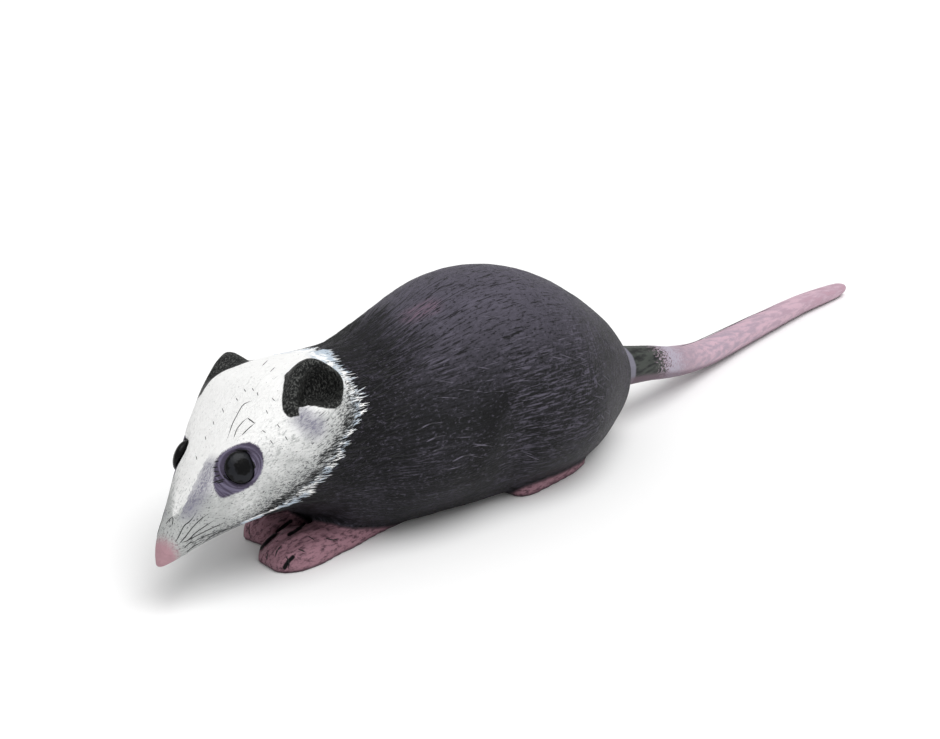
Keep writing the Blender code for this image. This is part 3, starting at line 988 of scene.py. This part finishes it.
def brush_flow(points):
    """Places along the body and round it, so that brush marks follow its form."""
    away = np.linalg.norm(points - TAIL_ROOT, axis=1)
    angle = np.arctan2(points[:, 2] - FLOW_HEIGHT, points[:, 1])
    return np.stack((away, FLOW_RADIUS * np.cos(angle), FLOW_RADIUS * np.sin(angle)), 1)


def ear_cover(points, side, rest_gap):
    """How far inside the ears' black each point is, and the patch by the right ear."""
    ear_gap = distances(tree_of(EARS), points)
    skirt = -polygon_distance(seen_pixels(points), np.array(RIGHT_EAR_SKIRT)) / PIXELS_PER_MM
    skirt = np.where(side < 0.0, np.minimum(skirt, SKIRT_REACH - ear_gap), -SKIRT_REACH)
    return np.maximum(rest_gap - ear_gap, skirt)


def eye_outline(tree):
    """The outline of the left eye patch on its flat chart."""
    outline = np.array([seen_at(tree, pixel)[0] for pixel in EYE_PATCH])
    across, high, _ = eye_chart(outline, "left")
    closed = np.vstack((np.stack((across, high), 1), (across[0], high[0])))
    return curve_through(closed, OUTLINE_PLACES)[:-1]


def eye_fields(mesh, tree, points, turn):
    """Store the eye patches, their rings and the lavender streaks, for both sides."""
    along, side, rise = in_head(points)
    outline = eye_outline(tree)
    streaks = (
        photo_route(tree, LAVENDER_STREAK, STREAK_PLACES),
        photo_route(tree, UNDER_EAR, UNDER_EAR_PLACES),
    )
    streak = np.stack(in_head(np.vstack(streaks)), 1)
    patch = np.full(len(points), FAR)
    rings = np.zeros((len(points), 3))
    lavender = np.full(len(points), FAR)
    for name, sign in SIDES.items():
        across, high, out = eye_chart(points, name)
        here = out > EYE_CHART_BACK
        patch[here] = polygon_distance(np.stack((across * sign, high), 1)[here], outline)
        patch[here] += PATCH_FADE * np.clip(PATCH_TURNS[name] - turn[here], 0.0, 1.0)
        rings[here] = np.stack((np.hypot(across, high), across, high), 1)[here]
        same_side = (side * sign > STREAK_SIDE) & (turn > STREAK_TURNS[name])
        gap = route_distance(np.stack((along, side * sign, rise), 1), streak)
        lavender[same_side] = gap[same_side]
    give(mesh, "eye_patch", patch)
    give(mesh, "eye_rings", rings)
    give(mesh, "lavender", lavender)


def spread_fields(mesh, tree, border):
    """Store where each marking lies, as smooth values on the skin."""
    points, _ = mesh_arrays(mesh)
    along, side, rise = in_head(points)
    turn = turn_of(side, rise)
    before_border = along - np.interp(turn, *border)
    give(mesh, "ruff", before_border)
    give(mesh, "back", np.maximum(-2.0 * before_border, 0.0))
    give(mesh, "muzzle", along)
    # How far round the head from the top, for the face's painted shade and stipple
    give(mesh, "cheek", np.clip((turn - CHEEK_TURN) / CHEEK_FADE, 0.0, 1.0))
    give(mesh, "head_flow", np.stack((along, side, rise), 1))
    give(mesh, "place", points)
    give(mesh, "flow", brush_flow(points))

    rest_gap = distances(tree_of(BLOCK), points)
    give(mesh, "paw", rest_gap - distances(tree_of(PAWS), points))
    give(mesh, "ear", ear_cover(points, side, rest_gap))
    # Where the painted shade in the grooves between the paws and toes lies
    grooves = [route_distance(points, route) for route in paw_grooves(tree)]
    give(mesh, "groove_shade", np.minimum.reduce(grooves))
    give(mesh, "smear", route_distance(points, photo_route(tree, PINK_SMEAR, SMEAR_PLACES)))
    # Where the painted shade in the crease before the thigh lies, seen from the side
    crease_shade = photo_route(tree, CREASE, CREASE_PLACES)
    give(mesh, "crease_shade", route_distance(points * SIDE_VIEW, crease_shade * SIDE_VIEW))
    eye_fields(mesh, tree, points, turn)


# Painted lines

def line_strip(points, normals, width, stand_out=STROKE_STAND_OUT):
    """Points and faces of a thin tapered stroke that lies on the surface."""
    vertices, faces = [], []
    last = len(points) - 1
    ahead = np.gradient(points, axis=0)
    for index, (point, normal) in enumerate(zip(points, normals)):
        share = index / last
        start = STROKE_WIDENS[0] * share + STROKE_WIDENS[1]
        end = STROKE_THINS[0] * (1.0 - share) + STROKE_THINS[1]
        taper = min(1.0, start, end)
        across = unit(np.cross(normal, ahead[index])) * (width / 2.0 * taper)
        sunk = point - normal * STROKE_SUNK
        vertices.extend((sunk - across, point + normal * stand_out * taper, sunk + across))
    for row in range(0, last * 3, 3):
        for a, b in ((row, row + 1), (row + 1, row + 2), (row + 2, row)):
            faces.append((a, b, b + 3, a + 3))
    faces.append((2, 1, 0))
    faces.append((last * 3, last * 3 + 1, last * 3 + 2))
    return vertices, faces


def photo_line(tree, pixels, count):
    """A line of the photograph, laid on the figure: its places and their normals."""
    found = [seen_at(tree, pixel) for pixel in curve_through(pixels, count)]
    places, normals = zip(*[pair for pair in found if pair[0] is not None])
    return np.array(places), np.array(normals)


def photo_route(tree, pixels, count):
    """The places along a line of the photograph."""
    return photo_line(tree, pixels, count)[0]


def nearest(tree, place):
    """The nearest point of the surface, and its normal."""
    hit, normal, _, _ = tree.find_nearest(Vector(place))
    return np.array(hit), np.array(normal)


def mirrored_line(tree, points):
    """The same line on the other side of the head."""
    found = [nearest(tree, head_point(a, -s, r)) for a, s, r in zip(*in_head(points))]
    places, normals = zip(*found)
    return np.array(places), np.array(normals)


def painted_lines(tree, lines, width, both_sides, count):
    """Thin strokes read off the photograph, on one or both sides of the head."""
    strips = []
    for pixels in lines:
        points, normals = photo_line(tree, pixels, count)
        strips.append(line_strip(points, normals, width))
        if both_sides:
            strips.append(line_strip(*mirrored_line(tree, points), width))
    return strips


def walk(tree, start, heading, length):
    """A stroke that follows the surface from a start in one heading."""
    points, normals = [], []
    steps = max(3, round(length / STROKE_STEP))
    place = start
    for _ in range(steps + 1):
        hit, normal = nearest(tree, place)
        points.append(hit)
        normals.append(normal)
        place = hit + unit(heading - normal * heading.dot(normal)) * length / steps
    return np.array(points), np.array(normals)


def ruff_place(tree, border, turn, side, offset):
    """A point of the skin at an angle round the head, some way behind the ruff's border."""
    along = np.interp(turn, *border) - offset
    start = head_point(along, 0.0, HEAD_AXIS_RISE)
    out = UP * math.cos(turn) + LEFT * (side * math.sin(turn))
    hit = tree.ray_cast(Vector(start), Vector(out))[0]
    return None if hit is None else np.array(hit)


def ruff_strokes(tree, border, ear_tree, rng, count, turns, offsets, longest, widths):
    """Hair strokes painted back from the border of the ruff, on both sides."""
    strips = []
    for side in SIDES.values():
        for _ in range(count):
            turn = rng.uniform(*turns)
            place = ruff_place(tree, border, turn, side, rng.uniform(*offsets))
            length = rng.uniform(HAIR_SHORTEST, 1.0) * longest
            lean = rng.uniform(*HAIR_LEAN)
            if place is None or ear_tree.find_nearest(Vector(place))[3] < EAR_CLEARANCE:
                continue
            down = LEFT * (side * math.cos(turn)) - UP * math.sin(turn)
            points, normals = walk(tree, place, unit(down * lean - FORWARD), length)
            if points[:, 2].min() > STROKE_LOWEST:
                strips.append(line_strip(points, normals, rng.uniform(*widths)))
    return strips


def body_strokes(tree, rng):
    """Dry-brush strokes over the back and flanks, laid backward and a little down."""
    strips = []
    for _ in range(BACK_STROKES):
        x = rng.uniform(*BACK_SPAN)
        turn = rng.uniform(-BACK_TURN, BACK_TURN)
        length = rng.uniform(BACK_SHORTEST, 1.0) * BACK_LENGTH
        out = np.array((0.0, math.sin(turn), math.cos(turn)))
        hit = tree.ray_cast(Vector((x, 0.0, BACK_AXIS_HEIGHT)), Vector(out))[0]
        if hit is None or hit[2] < BACK_LOWEST:
            continue
        down = np.array((0.0, math.cos(turn) * np.sign(turn), -abs(math.sin(turn))))
        lean = rng.uniform(*BACK_LEAN) + np.clip(-x / RUMP_LEAN_LENGTH, 0.0, RUMP_LEAN_MOST)
        heading = unit(down * lean + (-1.0, 0.0, 0.0))
        points, normals = walk(tree, np.array(hit), heading, length)
        if points[:, 2].min() > STROKE_LOWEST and points[:, 0].min() > BACK_END:
            strips.append(line_strip(points, normals, rng.uniform(*BACK_WIDTHS), BACK_STAND_OUT))
    return strips


# Eyes

def make_eye(name, side_name):
    """A low carved dome, as turned rings about its outward axis."""
    axes = feature_axes(EYE_OUTWARD, SIDES[side_name])
    centre = box_centre("eye_" + side_name)
    points, radii = [], []
    for ring in range(EYE_RINGS):
        angle = math.pi * (ring + 1) / (EYE_RINGS + 1)
        radius = EYE_RADIUS * math.sin(angle)
        out = EYE_DEPTH * math.cos(angle)
        for spoke in range(EYE_SPOKES):
            turn = 2.0 * math.pi * spoke / EYE_SPOKES
            width, height = radius * math.cos(turn), radius * math.sin(turn)
            points.append(centre + axes[0] * out + axes[1] * width + axes[2] * height)
            radii.append(radius if out > 0.0 else EYE_RADIUS)
    faces = []
    for ring in range(EYE_RINGS - 1):
        for spoke in range(EYE_SPOKES):
            beside = (spoke + 1) % EYE_SPOKES
            a, b = ring * EYE_SPOKES + spoke, ring * EYE_SPOKES + beside
            faces.append((a, b, b + EYE_SPOKES, a + EYE_SPOKES))
    points.append(centre + axes[0] * EYE_DEPTH)
    points.append(centre - axes[0] * EYE_DEPTH)
    radii.extend((0.0, EYE_RADIUS))
    front, back = len(points) - 2, len(points) - 1
    last = (EYE_RINGS - 1) * EYE_SPOKES
    for spoke in range(EYE_SPOKES):
        beside = (spoke + 1) % EYE_SPOKES
        faces.append((front, beside, spoke))
        faces.append((back, last + spoke, last + beside))
    mesh = mesh_from(name, points, faces)
    turn_faces_out(mesh)
    give(mesh, "radius", np.array(radii))
    give(mesh, "place", np.array(points) - centre)
    mesh.shade_smooth()
    return add_object(name, mesh)


# Tail

def tail_route(points):
    """Middle line of the tail from its solids, from the rump to the tip."""
    steps = np.linspace(points[:, 0].max(), points[:, 0].min(), TAIL_SLICES)
    route = []
    for start, end in zip(steps, steps[1:]):
        inside = (points[:, 0] <= start + SLICE_OVERLAP) & (points[:, 0] >= end - SLICE_OVERLAP)
        if inside.any():
            chosen = points[inside]
            route.append((chosen.min(0) + chosen.max(0)) / 2.0)
    return np.array(route)


def make_tail():
    """The whittled tail, with its flat facets."""
    mesh = remeshed("tail", TAIL, TAIL_VOXEL)
    points, _ = mesh_arrays(mesh)
    edges = edge_list(mesh)
    everywhere = np.ones(len(points))
    set_points(mesh, smooth(points, edges, everywhere, FIRST_ROUNDS, PLAIN_STEPS))
    points = mesh_arrays(mesh)[0] - vertex_normals(mesh) * GROW
    points = smooth(points, edges, everywhere, TAIL_ROUNDS)
    points[:, 2] = np.maximum(points[:, 2], FLOOR_GAP)
    set_points(mesh, points)
    route = tail_route(points)
    gaps = np.linalg.norm(np.diff(route, axis=0), axis=1)
    lengths = np.concatenate(((0.0,), np.cumsum(gaps)))
    order = np.argsort(route[:, 0])
    along = np.interp(points[:, 0], route[order, 0], lengths[order])
    give(mesh, "along", along)
    # Height above the tail's middle line, which sets the painted shade along its underside
    give(mesh, "above", points[:, 2] - np.interp(points[:, 0], route[order, 0], route[order, 2]))
    give(mesh, "flow", np.stack((along, points[:, 1], points[:, 2]), 1))
    mesh.shade_smooth()
    return add_object("tail", mesh)


# Assembly

def dress(made, material, nodes):
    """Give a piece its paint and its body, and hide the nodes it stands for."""
    made.data.materials.append(material)
    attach(made, "root")
    if nodes:
        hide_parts(*nodes)


def add_strokes(name, strips, colours):
    """Add many thin strokes as one piece, in paint between two colours."""
    points, faces = [], []
    for strip_points, strip_faces in strips:
        start = len(points)
        points.extend(strip_points)
        faces.extend([[corner + start for corner in face] for face in strip_faces])
    mesh = mesh_from(name, points, faces)
    turn_faces_out(mesh)
    give(mesh, "place", mesh_arrays(mesh)[0])
    mesh.shade_smooth()
    dress(add_object(name, mesh), stroke_paint(name, *colours), [])


skin_mesh = make_skin()
surface = tree_over([skin_mesh])
border = ruff_border(surface)
spread_fields(skin_mesh, surface, border)
skin_mesh.shade_smooth()
skin = add_object("carved_block", skin_mesh)
dress(skin, skin_paint(), BLOCK + PAWS + EARS)

eye_material = eye_paint()
domes = {name: make_eye("dome_eye_" + name, name) for name in SIDES}
for name, dome in domes.items():
    dress(dome, eye_material, ["eye_" + name])

tail = make_tail()
dress(tail, tail_paint(), TAIL)

figure_tree = tree_over([skin.data, domes["left"].data, tail.data])
ear_tree = tree_of(EARS)
draws = np.random.default_rng(SEED)

dark = []
for line_set in DARK_LINES:
    dark += painted_lines(figure_tree, *line_set)
for hair in (NECK_HAIR, CHEEK_HAIR):
    dark += ruff_strokes(surface, border, ear_tree, draws, *hair)
pale = ruff_strokes(surface, border, ear_tree, draws, *RUFF_HAIR)
add_strokes("dark_strokes", dark, (BLACK, GREEN_BLACK))
add_strokes("white_strokes", pale, (WHITE, COOL_WHITE))

grey = painted_lines(surface, *ARC_LINES)
grey += body_strokes(surface, draws)
add_strokes("grey_strokes", grey, (PURPLE_GREY, CHARCOAL))


# Floor, light and camera

def turn_back_to(made, direction):
    """Turn a light or a camera so that its back faces a direction."""
    made.rotation_mode = "QUATERNION"
    made.rotation_quaternion = Vector(direction).to_track_quat("Z", "Y")


def make_floor():
    """A plain white floor."""
    corners = np.array(((-1, -1, 0), (1, -1, 0), (1, 1, 0), (-1, 1, 0))) * FLOOR_REACH
    made = add_object("floor", mesh_from("floor", corners, [(0, 1, 2, 3)]))
    paint = Paint("floor_white")
    made.data.materials.append(paint.finish(FLOOR_WHITE, 0.9, None, 0.1))


def make_light(name, direction, softness, strength):
    """A broad soft light from one direction, alike over the whole floor."""
    light = bpy.data.lights.new(name, "SUN")
    light.angle = softness
    light.energy = strength
    turn_back_to(add_object(name, light), direction)


def make_camera():
    """The camera, where the photograph was taken from."""
    camera = bpy.data.cameras.new("camera")
    camera.sensor_width = SENSOR
    camera.lens = SENSOR * FOCAL_PIXELS / IMAGE_SIZE[0]
    camera.clip_start = CLIP_START
    made = add_object("camera", camera)
    made.location = Vector(CAMERA_PLACE) * MM
    turn_back_to(made, BACK_OF_VIEW)
    bpy.context.scene.camera = made


def make_world():
    """An evenly white room."""
    world = bpy.data.worlds.new("white_room")
    world.use_nodes = True
    background = world.node_tree.nodes["Background"]
    background.inputs["Color"].default_value = ROOM_WHITE
    background.inputs["Strength"].default_value = ROOM_STRENGTH
    bpy.context.scene.world = world


make_floor()
make_light("key", KEY_DIRECTION, KEY_SOFTNESS, KEY_STRENGTH)
make_world()
bpy.context.scene.view_settings.view_transform = "Standard"
make_camera()
